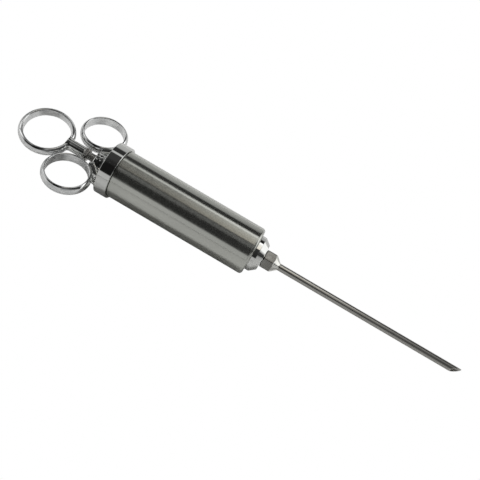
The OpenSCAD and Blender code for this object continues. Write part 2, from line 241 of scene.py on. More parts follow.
def surface_net(field, box_low, box_high, cell):
    """Closed quad mesh of field < 0: points moved onto field = 0, normals from its gradient."""
    box_low, box_high = np.array(box_low, float), np.array(box_high, float)
    dims = np.ceil((box_high - box_low) / cell).astype(int) + 1
    axes = [box_low[i] + cell * np.arange(dims[i]) for i in range(3)]
    values = field(*np.meshgrid(*axes, indexing="ij"))
    inside = values < 0
    cells = dims - 1
    corners = [(i, j, k) for i in (0, 1) for j in (0, 1) for k in (0, 1)]

    def at_corner(array, corner):
        return array[tuple(slice(c, c + n) for c, n in zip(corner, cells))]

    inside_count = np.zeros(cells, int)
    for corner in corners:
        inside_count += at_corner(inside, corner)
    mask = (inside_count > 0) & (inside_count < 8)

    # one vertex per crossed cell, at the mean of its edge crossings
    total = np.zeros(mask.shape + (3,))
    crossings = np.zeros(mask.shape)
    for start in corners:
        for axis in range(3):
            if start[axis]:
                continue
            end = list(start)
            end[axis] = 1
            value_a, value_b = at_corner(values, start), at_corner(values, end)
            cross = (value_a < 0) != (value_b < 0)
            share = np.where(cross, value_a / np.where(cross, value_a - value_b, 1), 0)
            for q in range(3):
                total[..., q] += np.where(cross, start[q] + (share if q == axis else 0), 0)
            crossings += cross
    index = -np.ones(mask.shape, int)
    index[mask] = np.arange(mask.sum())
    base = np.stack(np.nonzero(mask), -1)
    points = box_low + cell * (base + total[mask] / crossings[mask][:, None])

    # one quad round each crossed grid edge
    faces = []
    for axis in range(3):
        u, v = (axis + 1) % 3, (axis + 2) % 3
        slice_a, slice_b = [slice(None)] * 3, [slice(None)] * 3
        slice_a[axis] = slice(0, dims[axis] - 1)
        slice_b[axis] = slice(1, dims[axis])
        inside_a, inside_b = inside[tuple(slice_a)], inside[tuple(slice_b)]
        edges = np.stack(np.nonzero(inside_a != inside_b), -1)
        edges = edges[(edges[:, u] > 0) & (edges[:, v] > 0)
                      & (edges[:, u] < dims[u] - 1) & (edges[:, v] < dims[v] - 1)]
        outward = inside_a[tuple(edges.T)]
        quads = []
        for du, dv in ((1, 1), (0, 1), (0, 0), (1, 0)):
            near = edges.copy()
            near[:, u] -= du
            near[:, v] -= dv
            quads.append(index[tuple(near.T)])
        quads = np.stack(quads, 1)
        quads[~outward] = quads[~outward][:, ::-1]
        faces.append(quads)

    for _ in range(3):
        slopes = gradient(field, points)
        steepness = np.maximum((slopes * slopes).sum(1), 0.05)
        step = slopes * (field(*points.T) / steepness)[:, None]
        length = np.linalg.norm(step, axis=1)
        step *= np.minimum(1, 0.5 * cell / np.maximum(length, 1e-9))[:, None]
        points = points - step
    normals = gradient(field, points)
    normals /= np.maximum(np.linalg.norm(normals, axis=1), 1e-9)[:, None]
    return points, np.vstack(faces), normals


def net_piece(part, field, box_low, box_high, cell, body, slot):
    points, faces, normals = surface_net(field, box_low, box_high, cell)
    make_object(part, points, faces.tolist(), body, slot, vertex_normals=normals)


# ---------------------------------------------------------------- distance fields (negative inside)
def smooth_min(a, b, blend):
    h = np.clip(0.5 + 0.5 * (b - a) / blend, 0, 1)
    return b + (a - b) * h - blend * h * (1 - h)


def smooth_max(a, b, blend):
    return -smooth_min(-a, -b, blend)


def rounded_rod(x, r, middle, half, radius, edge):
    """Cylinder on the main axis with rounded ends."""
    over_x, over_r = np.abs(x - middle) - half + edge, r - radius + edge
    return (np.hypot(np.maximum(over_x, 0), np.maximum(over_r, 0)) - edge
            + np.minimum(np.maximum(over_x, over_r), 0))


# ---------------------------------------------------------------- rings
def ring_section(outer_r, wall, band, edge):
    """Section flat inside, with rounded edges and a domed outside."""
    rise = wall - 2 * edge
    half = band / 2 - edge
    dome_r = edge + (rise * rise + half * half) / (2 * rise)
    inner_r, dome_centre = outer_r - wall, outer_r - dome_r
    return half, dome_r, inner_r, dome_centre


def ring_samples(outer_r, wall, band, edge, dome_steps=52, edge_steps=12):
    """Section samples, with x along the ring's own axis."""
    half, dome_r, inner_r, dome_centre = ring_section(outer_r, wall, band, edge)
    join = math.atan2(half, inner_r + edge - dome_centre)

    def arc(x, r, radius, angle):
        sine, cosine = math.sin(angle), math.cos(angle)
        return x + radius * sine, r + radius * cosine, sine, cosine

    samples = [arc(0, dome_centre, dome_r, join - 2 * join * k / dome_steps)
               for k in range(dome_steps + 1)]
    samples += [arc(-half, inner_r + edge, edge, -join - (PI - join) * k / edge_steps)
                for k in range(1, edge_steps + 1)]
    samples += [arc(half, inner_r + edge, edge, -PI - (PI - join) * k / edge_steps)
                for k in range(edge_steps)]
    return samples


def ring(part, centre, size, turn, body):
    """Ring with its axis along Z, then turned about X. size: outer radius, wall, band, edge."""
    verts, faces, normals = lathe_data(ring_samples(*size), sides=288)
    cosine, sine = math.cos(turn), math.sin(turn)

    def turned(a):
        y, z = a[:, 2], a[:, 0]
        return np.stack([a[:, 1], y * cosine - z * sine, y * sine + z * cosine], 1)

    make_object(part, turned(verts) + np.array(centre), faces, body, "chrome_steel",
                loop_normals=turned(normals))


def ring_field(x, y, z, centre, size, turn):
    half, dome_r, inner_r, dome_centre = ring_section(*size)
    edge = size[3]
    dx, dy, dz = x - centre[0], y - centre[1], z - centre[2]
    cosine, sine = math.cos(turn), math.sin(turn)
    y_turned, z_turned = dy * cosine + dz * sine, -dy * sine + dz * cosine
    rho, height = np.hypot(dx, y_turned), np.abs(z_turned)
    on_dome = ((rho > dome_centre)
               & (height * (inner_r + edge - dome_centre) < half * (rho - dome_centre)))
    dome = np.maximum(np.hypot(rho - dome_centre, height) - dome_r, inner_r - rho)
    flank = np.where(height > half,
                     np.hypot(rho - (inner_r + edge), height - half) - edge, inner_r - rho)
    return np.where(on_dome, dome, flank)


FINGER_SIZE = (FINGER_R, FINGER_WALL, FINGER_BAND, FINGER_EDGE)
THUMB_SIZE = (THUMB_R, THUMB_WALL, THUMB_BAND, THUMB_EDGE)

# the ring meshes have softer edges than the fields their neighbours are blended to
for ring_part, ring_y in (("finger_ring_left", FINGER_Y), ("finger_ring_right", -FINGER_Y)):
    ring(ring_part, (FINGER_X, ring_y, 0), FINGER_SIZE[:3] + (1.5 * FINGER_EDGE,), 0, "cap")
ring("thumb_ring", (THUMB_X, 0, 0), THUMB_SIZE[:3] + (1.35 * THUMB_EDGE,), THUMB_TURN, "plunger")


# ---------------------------------------------------------------- yoke: hub, arms and webs in one
YOKE_HUB_R, YOKE_HUB_HALF, YOKE_HUB_EDGE = 5.5, 20, 0.8
YOKE_BORE_R = 4.22
ARM_R, ARM_HALF_WALL = FINGER_R + 0.3, 1.75     # arm follows the finger ring
ARM_REAR, ARM_REACH_Y, ARM_HALF_HEIGHT = YOKE_REAR - 0.8, 16.25, 2.97
WEB_REAR, WEB_REACH_Y, WEB_HALF_HEIGHT = YOKE_REAR + 1.4, 15.4, 1.2
WEB_SLANT_Y, WEB_SLANT = 8.2, 0.95              # slanted rear edge: its start in y, y per x
CAP_BLEND_R = 17.2                              # disc at the cap that the webs flow into


def wobble(x, y, z, size):
    """Smooth unevenness of a cast and hand-polished skin, about +-1."""
    return (np.sin(x * 1.9 / size + 0.7 * np.sin(y * 1.3 / size)) * np.sin(y * 1.7 / size + 1.1)
            + np.sin(z * 2.1 / size + x * 0.9 / size + 0.4)
            + np.sin(y * 2.7 / size - z * 1.6 / size + 2.0) * np.sin(x * 1.1 / size + 0.5)) / 2.2


def yoke_field(x, y, z):
    r = np.hypot(y, z)
    side, height = np.abs(y), np.abs(z)
    rho = np.hypot(x - FINGER_X, side - FINGER_Y)
    hub = rounded_rod(x, r, YOKE_REAR + YOKE_HUB_HALF, YOKE_HUB_HALF, YOKE_HUB_R, YOKE_HUB_EDGE)

    arm = smooth_max(np.abs(rho - ARM_R) - ARM_HALF_WALL, side - ARM_REACH_Y, 0.5)
    arm = smooth_max(arm, ARM_REAR - x, 0.5)
    arm = smooth_max(arm, height - ARM_HALF_HEIGHT, 0.3)

    web = smooth_max(FINGER_R - rho, WEB_REAR - x, 0.6)
    web = smooth_max(web, side - WEB_REACH_Y, 0.6)
    web = smooth_max(web, side - WEB_SLANT_Y - WEB_SLANT * (x - YOKE_REAR - 1.2), 0.6)
    web = smooth_max(web, height - WEB_HALF_HEIGHT, 0.5)

    body = smooth_min(web, hub, 3.0)
    body = smooth_min(body, np.maximum(CAP_REAR - x, r - CAP_BLEND_R), 2.2)
    body = smooth_min(arm, body, 1.5)
    finger_ring = ring_field(x, side, z, (FINGER_X, FINGER_Y, 0), FINGER_SIZE, 0)
    # cast skin, rougher close to the hub
    body = (smooth_min(body, finger_ring, 0.35) + 0.06 + 0.05 * wobble(x, y, z, 1.6)
            + np.clip(7.5 - r, 0, 1) * (0.06 + 0.09 * wobble(x, y, z, 0.9)))
    # cut away the ring, everything ahead of the cap's rear face, the finger hole and the bore
    body = np.maximum(body, -(finger_ring + 0.05))
    body = np.maximum(body, x - (CAP_REAR + 0.01))
    body = np.maximum(body, FINGER_R - 0.6 - rho)
    return np.maximum(body, YOKE_BORE_R - r)


net_piece("finger_yoke", yoke_field, (YOKE_REAR - 1.6, -17.4, -5.9), (CAP_REAR + 0.5, 17.4, 5.9),
          0.2, "cap", "polished_steel")


# ---------------------------------------------------------------- thumb ring shank and its weld
SHANK_REAR = THUMB_X + 10                       # hidden inside the ring before the hole is cut
SHANK_EDGE = 0.75


def shank_field(x, y, z):
    r = np.hypot(y, z)
    shank = rounded_rod(x, r, (SHANK_FRONT + SHANK_REAR) / 2, (SHANK_FRONT - SHANK_REAR) / 2,
                        SHANK_R, SHANK_EDGE)
    thumb_ring = ring_field(x, y, z, (THUMB_X, 0, 0), THUMB_SIZE, THUMB_TURN)
    body = smooth_min(shank, thumb_ring, 1.3) + 0.03
    body = np.maximum(body, -(thumb_ring + 0.05))
    rho = np.hypot(x - THUMB_X, y * math.cos(THUMB_TURN) + z * math.sin(THUMB_TURN))
    body = smooth_max(body, (THUMB_R - THUMB_WALL) - rho, 0.35)
    # bore for the rod; 99 mm leaves everything behind the rod untouched
    return np.maximum(body, (ROD_R + 0.01) - np.where(x > ROD_REAR, r, 99))


net_piece("thumb_shank", shank_field, (THUMB_X + 13.2, -5.6, -5.6), (SHANK_FRONT + 0.5, 5.6, 5.6),
          0.17, "plunger", "polished_steel")


# ---------------------------------------------------------------- turned pieces
# Outlines are (x, radius, fillet) corners, counter-clockwise from the rear end of the bore.
def ridges(rear, count, pitch, root, crest, fillet):
    """Flat-topped ridges, walked from front to rear."""
    points = []
    for i in range(count):
        x = rear + i * pitch
        points += [(x + 0.12 * pitch, root, fillet), (x + 0.36 * pitch, crest, fillet),
                   (x + 0.64 * pitch, crest, fillet), (x + 0.88 * pitch, root, fillet)]
    return points[::-1]


def barrel():
    bore_r = 15.0
    root, crest = BARREL_R - 0.75, BARREL_R - 0.15
    shoulder = CAP_FRONT + 0.2
    outline = [
        (BARREL_REAR, bore_r, 0.15), (BORE_END, bore_r, 1.2), (BORE_END, NOZZLE_SEAT_R, 0),
        (BARREL_FRONT, NOZZLE_SEAT_R, 0), (BARREL_FRONT, BARREL_R, 2.1),
        (shoulder, BARREL_R, 0.2), (shoulder, root, 0.05),
        *ridges(BARREL_REAR, count=3, pitch=1.5, root=root, crest=crest, fillet=0.08),
        (BARREL_REAR, root, 0.15)]
    lathe("barrel", outline, "barrel", "brushed_steel", sides=256, steps=10)


def nozzle():
    boss_front = BARREL_FRONT + 2.85
    nose = boss_front + 3.95                    # front end of the cone, where the spout starts
    nose_r, spout_r = 8.7, 3.25
    outline = [
        (BORE_END, NOZZLE_BORE_R, 0.2), (NOZZLE_FRONT, NOZZLE_BORE_R, 0.2),
        (NOZZLE_FRONT, spout_r, 0.25),
        *ridges(nose + 0.9, count=4, pitch=1.25, root=3.3, crest=3.85, fillet=0.07),
        (nose, spout_r, 0.1), (nose, nose_r, 0.35), (boss_front, NOZZLE_R, 0.4),
        (BARREL_FRONT, NOZZLE_R, 0.3), (BARREL_FRONT, NOZZLE_SEAT_R, 0),
        (BORE_END, NOZZLE_SEAT_R, 0)]
    lathe("nozzle", outline, "barrel", "polished_steel", sides=224, steps=8)


def rear_cap():
    rod_hole_r, bore_r, wall = ROD_R + 0.2, BARREL_R - 0.1, 2
    outline = [
        (CAP_REAR, rod_hole_r, 0.1), (CAP_REAR + wall, rod_hole_r, 0.1),
        (CAP_REAR + wall, bore_r, 0.2), (CAP_FRONT, bore_r, 0.18),
        (CAP_FRONT, CAP_R, 0.4), (CAP_REAR, CAP_R, 0.45)]
    lathe("rear_cap", outline, "cap", "polished_steel", sides=256, steps=8)


def plunger_rod():
    """Helical thread at the rear, plain towards the piston, with a thinner stud in front."""
    angles = np.arange(72) * 2 * PI / 72
    thread_end = YOKE_REAR - 0.2
    pitch, depth, step = 0.8, 0.36, 0.07
    rows = [circle_row(ROD_REAR, np.full(72, ROD_R - 0.5), angles)]
    for x in [ROD_REAR + 0.3, *np.arange(ROD_REAR + 0.35, thread_end + 0.6, step)]:
        phase = (x / pitch - angles / (2 * PI)) % 1.0
        groove = np.clip(np.abs(phase - 0.5) * 2 * 1.3 - 0.15, 0, 1)
        fade = np.clip((thread_end + 0.3 - x) / 0.5, 0, 1) * np.clip((x - ROD_REAR) / 0.6, 0, 1)
        rows.append(circle_row(x, ROD_R - 0.02 - depth * groove * fade, angles))
    stud_start, stud_r = low("piston_rear_plate"), 2.45
    plain = [(thread_end + 1.2, ROD_R), (-30, ROD_R), (0, ROD_R),          # (x, radius)
             (stud_start - 0.15, ROD_R), (stud_start, ROD_R - 0.15), (stud_start + 0.01, stud_r),
             (ROD_FRONT - 0.35, stud_r), (ROD_FRONT, 2.1)]
    rows += [circle_row(x, r, angles) for x, r in plain]
    grid_piece("plunger_rod", rows, "plunger", "rod_steel", sharp_angle=40, capped=True)


barrel()
nozzle()
rear_cap()
plunger_rod()


# ---------------------------------------------------------------- hexagons
def soft_hexagon(angles, flat_r, flat_angle, power=34):
    total = 0
    for k in range(6):
        total = total + np.maximum(np.cos(angles - flat_angle - k * PI / 3), 0) ** power
    return flat_r / total ** (1 / power)


def soft_smaller(a, b, power=40):
    return (a ** -power + b ** -power) ** (-1 / power)


def hex_piece(part, rear, front, across_flats, corner, profile, bore, body, slot, sides, step):
    """Hexagon cut by a turned profile and closed by a bore.

    corner: where a corner stands, in degrees from +Y towards +Z. profile: x stations and radii.
    bore: (x, radius) from front to rear.
    """
    angles = np.arange(sides) * 2 * PI / sides
    hexagon = soft_hexagon(angles, across_flats / 2, math.radians(corner + 30))
    stations = np.unique(np.concatenate([
        np.linspace(rear, rear + 0.7, 12),
        np.linspace(rear + 0.7, front, max(8, int((front - rear) / step)))]))
    rows = [circle_row(x, soft_smaller(hexagon, np.full(sides, float(np.interp(x, *profile)))),
                       angles) for x in stations]
    rows += [circle_row(x, r, angles) for x, r in bore]
    grid_piece(part, rows, body, slot, sharp_angle=38)


# needle hub: a hexagon with a cone in front, narrowing to the tube
HEX_FRONT = HUB_REAR + 7.2
CONE_START = HEX_FRONT - 0.9
HUB_CORNER_R, CONE_END_R = 6.82, 2.5
HUB_PROFILE = (
    [HUB_REAR, HUB_REAR + 0.12, HUB_REAR + 0.65, CONE_START, HEX_FRONT + 0.05,
     HUB_FRONT - 0.35, HUB_FRONT],
    [5.5, 5.75, HUB_CORNER_R, HUB_CORNER_R, 5.75, 2.72, CONE_END_R])
HUB_BORE = [(HUB_FRONT, 2.36), (TUBE_REAR, 2.36), (TUBE_REAR - 0.01, TUBE_BORE_R),
            (TUBE_REAR - 1.0, TUBE_BORE_R), (TUBE_REAR - 1.01, 3.93), (HUB_REAR + 0.3, 3.93),
            (HUB_REAR, 4.2)]
hex_piece("needle_hub", HUB_REAR, HUB_FRONT, across_flats=11.7, corner=10, profile=HUB_PROFILE,
          bore=HUB_BORE, body="needle", slot="hub_steel", sides=288, step=0.08)

JAM_CORNER_R, JAM_END_R, JAM_BORE_R = 4.6, 3.95, 2.72
JAM_PROFILE = ([JAM_REAR, JAM_REAR + 0.4, JAM_FRONT - 0.4, JAM_FRONT],
               [JAM_END_R, JAM_CORNER_R, JAM_CORNER_R, JAM_END_R])
hex_piece("jam_nut", JAM_REAR, JAM_FRONT, across_flats=JAM_CORNER_R * 2 * math.cos(PI / 6),
          corner=15, profile=JAM_PROFILE, bore=[(JAM_FRONT, JAM_BORE_R), (JAM_REAR, JAM_BORE_R)],
          body="plunger", slot="nut_steel", sides=192, step=0.06)


def needle_tube():
    """Tube with its end cut by a true plane, longest at +Y."""
    angles = np.arange(128) * 2 * PI / 128
    bevel_length = 8.0

    def cut(r):
        return TIP - (TUBE_R - r * np.cos(angles)) * bevel_length / (2 * TUBE_R)

    def wall(r, shares):
        """Rows along the tube, at shares of the way from the rear to the cut."""
        return [circle_row(TUBE_REAR + (cut(r) - TUBE_REAR) * s, r, angles) for s in shares]

    rows = wall(TUBE_R, (0, 0.02, 0.25, 0.5, 0.75, 0.9, 0.96, 0.985, 0.993))
    rows.append(circle_row(cut(TUBE_R) - 0.06, TUBE_R, angles))
    lip_r = TUBE_R - 0.072
    rows.append(circle_row(cut(lip_r), lip_r, angles))
    rows += wall(TUBE_BORE_R, (1, 0.993, 0.97, 0.9, 0.5, 0.02, 0))
    grid_piece("needle_tube", rows, "needle", "needle_steel", sharp_angle=30)


needle_tube()


# ---------------------------------------------------------------- shader node helpers
class Nodes:
    """Short calls that add nodes to a tree. Values may be numbers or sockets."""

    def __init__(self, tree):
        self.tree = tree

    def node(self, kind, **settings):
        node = self.tree.nodes.new(kind)
        for key, value in settings.items():
            setattr(node, key, value)
        return node

    def link(self, source, target):
        self.tree.links.new(source, target)

    def feed(self, value, target):
        if isinstance(value, bpy.types.NodeSocket):
            self.link(value, target)
        else:
            target.default_value = value

    def math(self, operation, *values):
        node = self.node("ShaderNodeMath", operation=operation)
        for value, target in zip(values, node.inputs):
            self.feed(value, target)
        return node.outputs[0]

    def vector(self, x, y, z):
        node = self.node("ShaderNodeCombineXYZ")
        for value, target in zip((x, y, z), node.inputs):
            self.feed(value, target)
        return node.outputs[0]

    def split(self, vector):
        node = self.node("ShaderNodeSeparateXYZ")
        self.link(vector, node.inputs[0])
        return node.outputs

    def object_coords(self):
        return self.node("ShaderNodeTexCoord").outputs["Object"]

    def noise(self, vector, scale, detail=3.0, rough=0.5, distortion=0.0):
        node = self.node("ShaderNodeTexNoise")
        self.link(vector, node.inputs["Vector"])
        node.inputs["Scale"].default_value = scale
        node.inputs["Detail"].default_value = detail
        node.inputs["Roughness"].default_value = rough
        node.inputs["Distortion"].default_value = distortion
        return node.outputs["Fac"]

    def ramp(self, factor, stops):
        """stops: (position, RGB)."""
        node = self.node("ShaderNodeValToRGB")
        elements = node.color_ramp.elements
        while len(elements) < len(stops):
            elements.new(0.5)
        for element, (position, color) in zip(elements, stops):
            element.position = position
            element.color = (*color, 1)
        self.link(factor, node.inputs[0])
        return node.outputs[0]

    def remap(self, value, from_min, from_max, to_min=0, to_max=1, clamp=True):
        node = self.node("ShaderNodeMapRange", clamp=clamp)
        self.link(value, node.inputs["Value"])
        node.inputs["From Min"].default_value = from_min
        node.inputs["From Max"].default_value = from_max
        node.inputs["To Min"].default_value = to_min
        node.inputs["To Max"].default_value = to_max
        return node.outputs[0]

    def mix(self, factor, a, b):
        """Mix two colours, each a socket or RGB."""
        node = self.node("ShaderNodeMix", data_type="RGBA")
        self.feed(factor, node.inputs[0])
        for color, target in ((a, node.inputs[6]), (b, node.inputs[7])):
            self.feed((*color, 1) if isinstance(color, tuple) else color, target)
        return node.outputs[2]

    def bump(self, height, strength, distance, normal=None):
        node = self.node("ShaderNodeBump")
        node.inputs["Strength"].default_value = strength
        node.inputs["Distance"].default_value = distance
        self.link(height, node.inputs["Height"])
        if normal is not None:
            self.link(normal, node.inputs["Normal"])
        return node.outputs[0]


def empty_nodes(owner):
    """Node helper on the emptied tree of a material or world."""
    owner.use_nodes = True
    owner.node_tree.nodes.clear()
    return Nodes(owner.node_tree)


def new_material(name):
    material = bpy.data.materials.new(name + "_m")
    t = empty_nodes(material)
    output = t.node("ShaderNodeOutputMaterial")
    bsdf = t.node("ShaderNodeBsdfPrincipled")
    t.link(bsdf.outputs[0], output.inputs[0])
    return material, t, bsdf


# ---------------------------------------------------------------- materials
# Noise stretch of the fine and the broad brushing lines, as (along X, across it). For "ring" the
# second number scales the sine and cosine of the angle round the axis.
BRUSHES = {
    "ring": ((9000, 1.6), (2600, 0.9)),
    "axial": ((35, 9000), (20, 2600)),
    "none": ((3000, 3000), (900, 900)),
}


def steel(name, base, tint, rough, spread, brush="ring", aniso=0.0, lines=0.5, wave=0.0,
          scratch=0.3, drift_scale=45):
    """Metal with brushing, slow colour drift, hairline scratches and brighter worn edges.

    base, tint: the colours it drifts between. spread: half range of the roughness. brush: round
    the axis, along it or none. lines, wave, scratch: strength of brushing, of broad unevenness
    and of scratches. drift_scale: noise scale of the colour drift.
    """
    material, t, bsdf = new_material(name)
    coords = t.object_coords()
    x, y, z = t.split(coords)
    drift = t.noise(coords, drift_scale, detail=2.0, rough=0.55)
    mottle = t.noise(coords, 420, detail=4.0, rough=0.6)

    if brush == "ring":
        angle = t.math("ARCTAN2", z, y)

    def stretched(along, across):
        across_a = t.math("SINE", angle) if brush == "ring" else y
        across_b = t.math("COSINE", angle) if brush == "ring" else z
        return t.vector(t.math("MULTIPLY", x, along), t.math("MULTIPLY", across_a, across),
                        t.math("MULTIPLY", across_b, across))

    fine_stretch, broad_stretch = BRUSHES[brush]
    fine = t.noise(stretched(*fine_stretch), 1.0, detail=2.0, rough=0.5)
    broad = t.noise(stretched(*broad_stretch), 1.0, detail=3.0, rough=0.6)
    brushing = t.math("ADD", t.math("MULTIPLY", fine, 0.6), t.math("MULTIPLY", broad, 0.4))

    # hairlines: noise in a skewed space, cut to a narrow band
    skewed = t.vector(
        t.math("ADD", t.math("MULTIPLY", x, 260), t.math("MULTIPLY", y, 900)),
        t.math("MULTIPLY", y, 300),
        t.math("SUBTRACT", t.math("MULTIPLY", z, 900), t.math("MULTIPLY", x, 500)))
    hairlines = t.remap(t.noise(skewed, 6.0, detail=5.0, rough=0.7, distortion=1.5), 0.60, 0.68)
    pointiness = t.node("ShaderNodeNewGeometry").outputs["Pointiness"]
    worn_edge = t.remap(pointiness, 0.505, 0.56)

    color = t.mix(t.remap(drift, 0.35, 0.65), base, tint)
    color = t.mix(t.math("MULTIPLY", t.remap(brushing, 0.3, 0.7), lines * 0.5), color,
                  tuple(c * 0.86 for c in base))
    color = t.mix(t.math("MULTIPLY", worn_edge, 0.25), color,
                  tuple(min(1, c * 1.2) for c in base))
    t.link(color, bsdf.inputs["Base Color"])

    roughness = t.remap(mottle, 0.3, 0.7, rough - spread, rough + spread)
    roughness = t.math("ADD", roughness, t.math(
        "MULTIPLY", t.remap(brushing, 0.35, 0.65, -1, 1), 0.35 * spread))
    roughness = t.math("ADD", roughness, t.math("MULTIPLY", hairlines, scratch * 0.3))
    t.link(t.math("MAXIMUM", roughness, 0.02), bsdf.inputs["Roughness"])
    bsdf.inputs["Metallic"].default_value = 1
    if aniso:
        bsdf.inputs["Anisotropic"].default_value = aniso
        tangent = t.node("ShaderNodeTangent", direction_type="RADIAL", axis="X")
        t.link(tangent.outputs[0], bsdf.inputs["Tangent"])
        bsdf.inputs["Anisotropic Rotation"].default_value = 0.0 if brush == "axial" else 0.25

    height = t.math("ADD", t.math("MULTIPLY", brushing, lines),
                    t.math("MULTIPLY", hairlines, -0.25 * scratch))
    normal = t.bump(height, strength=0.35, distance=0.00004)
    if wave:
        uneven = t.noise(coords, 160, detail=2.0, rough=0.5)
        normal = t.bump(uneven, strength=wave, distance=0.0004, normal=normal)
    t.link(normal, bsdf.inputs["Normal"])
    return material


def soft_material(name, base, tint, rough, bump, scale, subsurface=0.0):
    """Rubber or plastic. scale: noise scale of the roughness; the bumps are 2.5 times finer."""
    material, t, bsdf = new_material(name)
    coords = t.object_coords()
    t.link(t.mix(t.remap(t.noise(coords, 120), 0.35, 0.65), base, tint),
           bsdf.inputs["Base Color"])
    t.link(t.remap(t.noise(coords, scale, detail=4), 0.3, 0.7, rough - 0.08, rough + 0.08),
           bsdf.inputs["Roughness"])
    bsdf.inputs["Specular IOR Level"].default_value = 0.4
    if subsurface:
        bsdf.inputs["Subsurface Weight"].default_value = subsurface
        bsdf.inputs["Subsurface Radius"].default_value = (0.002, 0.0018, 0.0015)
    grain = t.noise(coords, scale * 2.5, detail=4, rough=0.6)
    t.link(t.bump(grain, strength=bump, distance=0.00005), bsdf.inputs["Normal"])
    return material


def hub_material(name):
    """Dull, slightly brown hexagon with a polished cone in front."""
    material = steel(name, base=(0.27, 0.266, 0.25), tint=(0.16, 0.156, 0.143), rough=0.26,
                     spread=0.07, aniso=0.2, lines=0.9, wave=0.16, scratch=0.6)
    t = Nodes(material.node_tree)
    bsdf = next(n for n in t.tree.nodes if n.type == "BSDF_PRINCIPLED")
    x, y, z = t.split(t.object_coords())
    radius = t.math("SQRT", t.math("ADD", t.math("MULTIPLY", y, y), t.math("MULTIPLY", z, z)))
    cone_r = t.remap(x, CONE_START * MM, HUB_FRONT * MM, HUB_CORNER_R * MM, CONE_END_R * MM,
                     clamp=False)
    on_cone = t.remap(t.math("SUBTRACT", radius, cone_r), -0.45 * MM, -0.15 * MM)
    ahead = t.remap(x, (HEX_FRONT - 0.75) * MM, (HEX_FRONT - 0.45) * MM)
    polished = t.math("MULTIPLY", on_cone, ahead)
    color = bsdf.inputs["Base Color"].links[0].from_socket
    t.link(t.mix(polished, color, (0.62, 0.62, 0.585)), bsdf.inputs["Base Color"])
    roughness = bsdf.inputs["Roughness"].links[0].from_socket
    dull_part = t.math("MULTIPLY", roughness, t.math("SUBTRACT", 1.0, polished))
    t.link(t.math("ADD", dull_part, t.math("MULTIPLY", polished, 0.11)),
           bsdf.inputs["Roughness"])
    return material


MATERIALS = {
    "brushed_steel": steel(
        "brushed_steel", base=(0.480, 0.487, 0.452), tint=(0.455, 0.462, 0.430), rough=0.205,
        spread=0.02, aniso=0.97, lines=0.55, scratch=0.2),
    "polished_steel": steel(
        "polished_steel", base=(0.605, 0.61, 0.59), tint=(0.58, 0.587, 0.57), rough=0.06,
        spread=0.015, aniso=0.3, lines=0.15, wave=0.02, scratch=0.2),
    "chrome_steel": steel(
        "chrome_steel", base=(0.64, 0.645, 0.64), tint=(0.60, 0.605, 0.605), rough=0.05,
        spread=0.02, brush="none", lines=0.08, wave=0.05, scratch=0.35),
    "rod_steel": steel(
        "rod_steel", base=(0.46, 0.455, 0.44), tint=(0.40, 0.395, 0.38), rough=0.24,
        spread=0.05, aniso=0.3, lines=0.7),
    "nut_steel": steel(
        "nut_steel", base=(0.44, 0.43, 0.41), tint=(0.38, 0.37, 0.355), rough=0.26,
        spread=0.06, brush="none", wave=0.05),
    "washer_steel": steel(
        "washer_steel", base=(0.55, 0.55, 0.54), tint=(0.50, 0.50, 0.49), rough=0.25,
        spread=0.05, aniso=0.4, lines=0.7),
    "spring_steel": steel(
        "spring_steel", base=(0.30, 0.30, 0.29), tint=(0.25, 0.245, 0.24), rough=0.34,
        spread=0.06, brush="none", lines=0.4),
    "hub_steel": hub_material("hub_steel"),
    "needle_steel": steel(
        "needle_steel", base=(0.36, 0.355, 0.335), tint=(0.31, 0.305, 0.285), rough=0.20,
        spread=0.04, brush="axial", aniso=0.5),
    "silicone": soft_material(
        "silicone", base=(0.80, 0.79, 0.74), tint=(0.74, 0.73, 0.68), rough=0.45,
        bump=0.2, scale=700, subsurface=0.3),
    "nitrile": soft_material(
        "nitrile", base=(0.025, 0.025, 0.026), tint=(0.045, 0.044, 0.043), rough=0.55,
        bump=0.4, scale=1200),
    "ptfe": soft_material(
        "ptfe", base=(0.86, 0.85, 0.82), tint=(0.80, 0.79, 0.76), rough=0.35,
        bump=0.2, scale=800, subsurface=0.2),
}
SLOT_OF = {s["node"]: s["material_slot"] for s in frame["record"]["subparts"]}
for name, ob in NODES.items():
    ob.data.materials.clear()
    ob.data.materials.append(MATERIALS[SLOT_OF[name]])
    ob["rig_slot"] = SLOT_OF[name]

# the three rings have a brighter, more uneven chrome of their own
RING_STEEL = steel("ring_steel", base=(0.73, 0.735, 0.73), tint=(0.59, 0.60, 0.60), rough=0.045,
                   spread=0.02, brush="none", lines=0.30, wave=0.17, scratch=0.35,
                   drift_scale=260)
for ob in MADE:
    ob.data.materials.clear()
    ob.data.materials.append(RING_STEEL if "_ring_" in ob.name else MATERIALS[ob["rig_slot"]])


# ---------------------------------------------------------------- floor
scene = bpy.context.scene


def floor_plane():
    """Grey to the light, pure white to the camera."""
    half = 3.0
    z = -CAP_R * MM - 0.0004
    mesh = bpy.data.meshes.new("floor")
    mesh.from_pydata([(-half, -half, z), (half, -half, z), (half, half, z), (-half, half, z)],
                     [], [[0, 1, 2, 3]])
    ob = bpy.data.objects.new("floor", mesh)
    scene.collection.objects.link(ob)
    material = bpy.data.materials.new("floor_m")
    t = empty_nodes(material)
    output = t.node("ShaderNodeOutputMaterial")
    diffuse = t.node("ShaderNodeBsdfDiffuse")
    diffuse.inputs["Color"].default_value = (0.80, 0.80, 0.80, 1)
    glow = t.node("ShaderNodeEmission")
    glow.inputs["Color"].default_value = (1, 1, 1, 1)
    glow.inputs["Strength"].default_value = 1.0
    mix = t.node("ShaderNodeMixShader")
    t.link(t.node("ShaderNodeLightPath").outputs["Is Camera Ray"], mix.inputs[0])
    t.link(diffuse.outputs[0], mix.inputs[1])
    t.link(glow.outputs[0], mix.inputs[2])
    t.link(mix.outputs[0], output.inputs[0])
    mesh.materials.append(material)


floor_plane()

